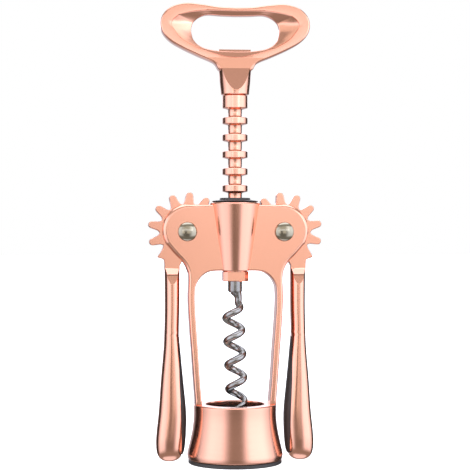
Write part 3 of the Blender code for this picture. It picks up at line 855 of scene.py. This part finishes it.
def handle_rings():
    """Closed rings round the handle from its outer edge, over the front, through the mouth and back."""
    steps = 10
    outer = curve_through([row[0] for row in HANDLE], steps)
    mouth = curve_through([row[2] for row in HANDLE], steps)
    recess = [row[1] for row in HANDLE]
    top_edge = curve_through(recess[: RECESS_CORNER + 1], steps)[:-1]
    edge = top_edge + curve_through(recess[RECESS_CORNER:], steps)
    depth = [row[0] for row in curve_through([(d,) for d in RECESS_DEPTHS], steps)]
    depth = np.array(depth + depth[-2:0:-1])
    outer, edge, mouth = (np.array(mirrored(line)) for line in (outer, edge, mouth))
    outer_in, edge_in, mouth_in = inward(outer), inward(edge), inward(mouth)
    face = HANDLE_HALF
    step = RECESS_STEP
    floor = edge + edge_in * 0.2
    lip = mouth - mouth_in * MOUTH_LIP

    front = [(outer, 0.0), (outer, face - HANDLE_EDGE)]
    for angle in np.linspace(0, math.pi / 2, 7)[1:]:
        inset, rise = HANDLE_EDGE * (1 - math.cos(angle)), HANDLE_EDGE * (1 - math.sin(angle))
        front.append((outer + outer_in * inset, face - rise))
    front.append(((outer + outer_in * HANDLE_EDGE + edge) / 2, face))
    front += [(edge - edge_in * 0.12, face), (edge, face - 0.04), (floor, face - step)]
    for share in np.linspace(0, 1, 9)[1:]:
        drop = step + (depth - step) * share
        front.append((floor * (1 - share) + lip * share, face - drop))
    for angle in np.linspace(0, math.pi / 2, 6)[1:]:
        drop = depth + MOUTH_LIP * (1 - math.cos(angle))
        front.append((mouth - mouth_in * MOUTH_LIP * (1 - math.sin(angle)), face - drop))
    heights = [(line, np.broadcast_to(y, len(outer))) for line, y in front]
    rings = [[(x, -y, z) for (x, z), y in zip(line, ys)] for line, ys in heights]
    rings.append([(x, 0.0, z) for x, z in mouth])
    rings += [[(x, y, z) for (x, z), y in zip(line, ys)] for line, ys in reversed(heights[1:])]
    return rings


def make_neck():
    """The round neck, with a shield-shaped facet on its front and back."""
    profile = [(0, NECK[0][1]), NECK[0], *curve_through(NECK[1:], 6), (0, NECK[-1][1])]
    neck = turned("neck", profile)
    (low_y, low_z), (high_y, high_z) = NECK_FACET
    slope = (high_y - low_y) / (high_z - low_z)
    for side in (-1, 1):
        facet = [(low_y - 2 * slope, low_z - 2), (high_y, high_z), (12, high_z), (12, low_z - 2)]
        apply_boolean(neck, side_cutter("facet", facet, 12, side), "DIFFERENCE")
        deep = HANDLE_HALF - 0.2
        above = [(deep, high_z - 0.01), (deep, 168), (12, 168), (12, high_z - 0.01)]
        apply_boolean(neck, side_cutter("above", above, 12, side), "DIFFERENCE")
    return neck


def make_handle():
    """The flat cast handle with its cap opener, and the saddle that joins it to the neck."""
    handle = loft("opener_casting", handle_rings(), closed_loop=True)
    apply_boolean(handle, make_neck(), "UNION")
    saddle = [[(x * half, y * deep, z) for x, y in SQUARE] for z, half, deep in SADDLE]
    apply_boolean(handle, loft("saddle", saddle), "UNION")
    apply_boolean(handle, side_cutter("lip", CAP_LIP, CAP_LIP_HALF, 1), "UNION")
    finish_piece(handle, "rack_unit", ["opener_handle"], CASTING)


# The room, the lights and the camera


def make_floor():
    """A plain floor, as bright as the paper behind a catalogue picture."""
    bm = bmesh.new()
    bm.faces.new([bm.verts.new((6000 * x, 6000 * y, -0.05)) for x, y in SQUARE])
    floor = to_object("floor", bm)
    material, tree, shader = new_material("pale floor")
    shader.inputs["Base Color"].default_value = (0.9, 0.9, 0.9, 1)
    shader.inputs["Roughness"].default_value = 1.0
    shader.inputs["Emission Color"].default_value = (1, 1, 1, 1)
    shader.inputs["Emission Strength"].default_value = 0.9
    floor.data.materials.append(material)
    floor.visible_glossy = False
    floor.visible_diffuse = False


def add_math(tree, operation, *values):
    node = tree.nodes.new("ShaderNodeMath")
    node.operation = operation
    for socket, value in zip(node.inputs, values):
        if isinstance(value, (int, float)):
            socket.default_value = value
        else:
            tree.links.new(value, socket)
    return node.outputs["Value"]


def add_step(tree, value, start, end):
    """0 below the start, 1 above the end, and smooth between them."""
    step = tree.nodes.new("ShaderNodeMapRange")
    step.interpolation_type = "SMOOTHSTEP"
    step.inputs["From Min"].default_value = start
    step.inputs["From Max"].default_value = end
    tree.links.new(value, step.inputs["Value"])
    return step.outputs["Result"]


def add_walls(tree, azimuth):
    """The light of the walls, by azimuth."""
    ramp = tree.nodes.new("ShaderNodeValToRGB")
    ramp.color_ramp.interpolation = "EASE"
    elements = ramp.color_ramp.elements
    elements.remove(elements[1])
    for number, (angle, level, tint) in enumerate(WALLS):
        place = (angle + 180) / 360
        element = elements.new(place) if number else elements[0]
        element.position = place
        element.color = (*(level * share for share in tint), 1)
    tree.links.new(azimuth, ramp.inputs["Fac"])
    return ramp.outputs["Color"]


def add_blend(tree, factor, one, two):
    """A mix from one to two, either of which is a colour's socket or (half of the radiance, tint)."""
    mix = tree.nodes.new("ShaderNodeMix")
    mix.data_type = "RGBA"
    tree.links.new(factor, mix.inputs["Factor"])
    for socket, value in (("A", one), ("B", two)):
        if isinstance(value, tuple):
            level, tint = value
            mix.inputs[socket].default_value = (*(level * share for share in tint), 1)
        else:
            tree.links.new(value, mix.inputs[socket])
    return mix.outputs["Result"]


def add_room(tree):
    """The studio's light by direction: soft walls to the sides, a darker front and a bright ceiling."""
    place = tree.nodes.new("ShaderNodeTexCoord")
    axes = tree.nodes.new("ShaderNodeSeparateXYZ")
    tree.links.new(place.outputs["Generated"], axes.inputs["Vector"])
    x, y, z = axes.outputs
    turn = add_math(tree, "ARCTAN2", x, add_math(tree, "MULTIPLY", y, -1.0))
    azimuth = add_math(tree, "ADD", add_math(tree, "DIVIDE", turn, math.tau), 0.5)
    walls = add_walls(tree, azimuth)
    dimmed = tree.nodes.new("ShaderNodeVectorMath")
    dimmed.operation = "SCALE"
    rise = add_step(tree, z, -0.35, 0.14)
    tree.links.new(walls, dimmed.inputs["Vector"])
    share = add_math(tree, "MULTIPLY_ADD", rise, 1 - LOW_WALLS, LOW_WALLS)
    tree.links.new(share, dimmed.inputs["Scale"])
    behind = add_math(tree, "MULTIPLY", add_step(tree, z, 0.075, 0.105), add_step(tree, y, 0.80, 0.93))
    light = add_blend(tree, behind, dimmed.outputs["Vector"], (BACK_LIGHT / 2, COOL))
    light = add_blend(tree, add_step(tree, z, *UPPER_EDGE), light, (UPPER_LIGHT / 2, WARM))
    light = add_blend(tree, add_step(tree, z, *CEILING_EDGE), light, (CEILING_LIGHT / 2, COOL))
    down = add_math(tree, "MULTIPLY", z, -1.0)
    light = add_blend(tree, add_step(tree, down, 0.34, 0.60), light, (BELOW_LIGHT / 2, WARM))
    return add_blend(tree, add_step(tree, down, 0.82, 0.93), light, (GROUND_LIGHT / 2, COOL))


def make_world():
    """White behind the object, and the studio in its reflections."""
    world = bpy.data.worlds.new("studio")
    bpy.context.scene.world = world
    world.use_nodes = True
    tree = world.node_tree
    tree.nodes.clear()
    output = tree.nodes.new("ShaderNodeOutputWorld")
    seen = tree.nodes.new("ShaderNodeBackground")
    seen.inputs["Color"].default_value = (1, 1, 1, 1)
    room = tree.nodes.new("ShaderNodeBackground")
    room.inputs["Strength"].default_value = 2.0
    tree.links.new(add_room(tree), room.inputs["Color"])
    path = tree.nodes.new("ShaderNodeLightPath")
    mix = tree.nodes.new("ShaderNodeMixShader")
    tree.links.new(path.outputs["Is Camera Ray"], mix.inputs["Fac"])
    tree.links.new(room.outputs["Background"], mix.inputs[1])
    tree.links.new(seen.outputs["Background"], mix.inputs[2])
    tree.links.new(mix.outputs["Shader"], output.inputs["Surface"])


def add_front_panels(lit):
    """Soft panels in front, which the flat faces reflect. They light only this collection."""
    for name, azimuths, elevations, radiance, tint in FRONT_PANELS:
        spans = (azimuths, elevations)
        a, e = (math.radians(start + to) / 2 for start, to in spans)
        halves = (math.tan(math.radians(to - start) / 2) for start, to in spans)
        width, height = (2 * PANEL_DISTANCE * half for half in halves)
        data = bpy.data.lights.new(name, "AREA")
        data.shape = "RECTANGLE"
        data.size, data.size_y = width, height
        data.energy = radiance * math.pi * width * height
        data.color = tint
        panel = bpy.data.objects.new(name, data)
        away = Vector((math.sin(a) * math.cos(e), -math.cos(a) * math.cos(e), math.sin(e)))
        panel.location = away * PANEL_DISTANCE + Vector((0, 0, CAMERA_HEIGHT))
        panel.rotation_euler = away.to_track_quat("Z", "Y").to_euler()
        panel.visible_camera = False
        panel.light_linking.receiver_collection = lit
        bpy.context.collection.objects.link(panel)


def add_key_light():
    """A soft lamp from the upper left, which models the dull surfaces and shows in no reflection."""
    data = bpy.data.lights.new("key light", "AREA")
    data.size = KEY_SIZE
    data.energy = KEY_ENERGY
    lamp = bpy.data.objects.new("key light", data)
    away = Vector((-0.45, -0.75, 0.55)).normalized()
    lamp.location = away * KEY_DISTANCE
    lamp.rotation_euler = away.to_track_quat("Z", "Y").to_euler()
    lamp.visible_camera = False
    lamp.visible_glossy = False
    bpy.context.collection.objects.link(lamp)


def make_camera():
    """The camera, level and a little to the left of the middle."""
    data = bpy.data.cameras.new("camera")
    data.lens = CAMERA_LENS
    data.sensor_width = 36.0
    camera = bpy.data.objects.new("camera", data)
    angle = math.radians(CAMERA_AZIMUTH)
    away = Vector((math.sin(angle), -math.cos(angle), 0))
    camera.location = away * CAMERA_DISTANCE + Vector((0, 0, CAMERA_HEIGHT))
    camera.rotation_euler = away.to_track_quat("Z", "Y").to_euler()
    bpy.context.collection.objects.link(camera)
    bpy.context.scene.camera = camera


def make_stage(pieces):
    """The camera, the room and its lights."""
    bpy.context.scene.view_settings.view_transform = "Standard"
    make_camera()
    make_world()
    make_floor()
    add_key_light()
    lit = bpy.data.collections.new("lit from the front")
    for obj in pieces:
        if not obj.name.startswith("bell"):
            lit.objects.link(obj)
    add_front_panels(lit)


for hand, side in (("left", -1), ("right", 1)):
    pivot = joint_place(f"{hand}_lever_pivot")
    make_rivets(hand, pivot)
    make_lever(hand, side, pivot)
    make_grip(hand, side)
make_frame(joint_place("right_lever_pivot"))
make_bell()
make_liner()
make_bush()
make_rack()
make_collar()
make_worm()
make_handle()
make_stage([obj for obj in bpy.context.collection.objects if obj.type == "MESH"])
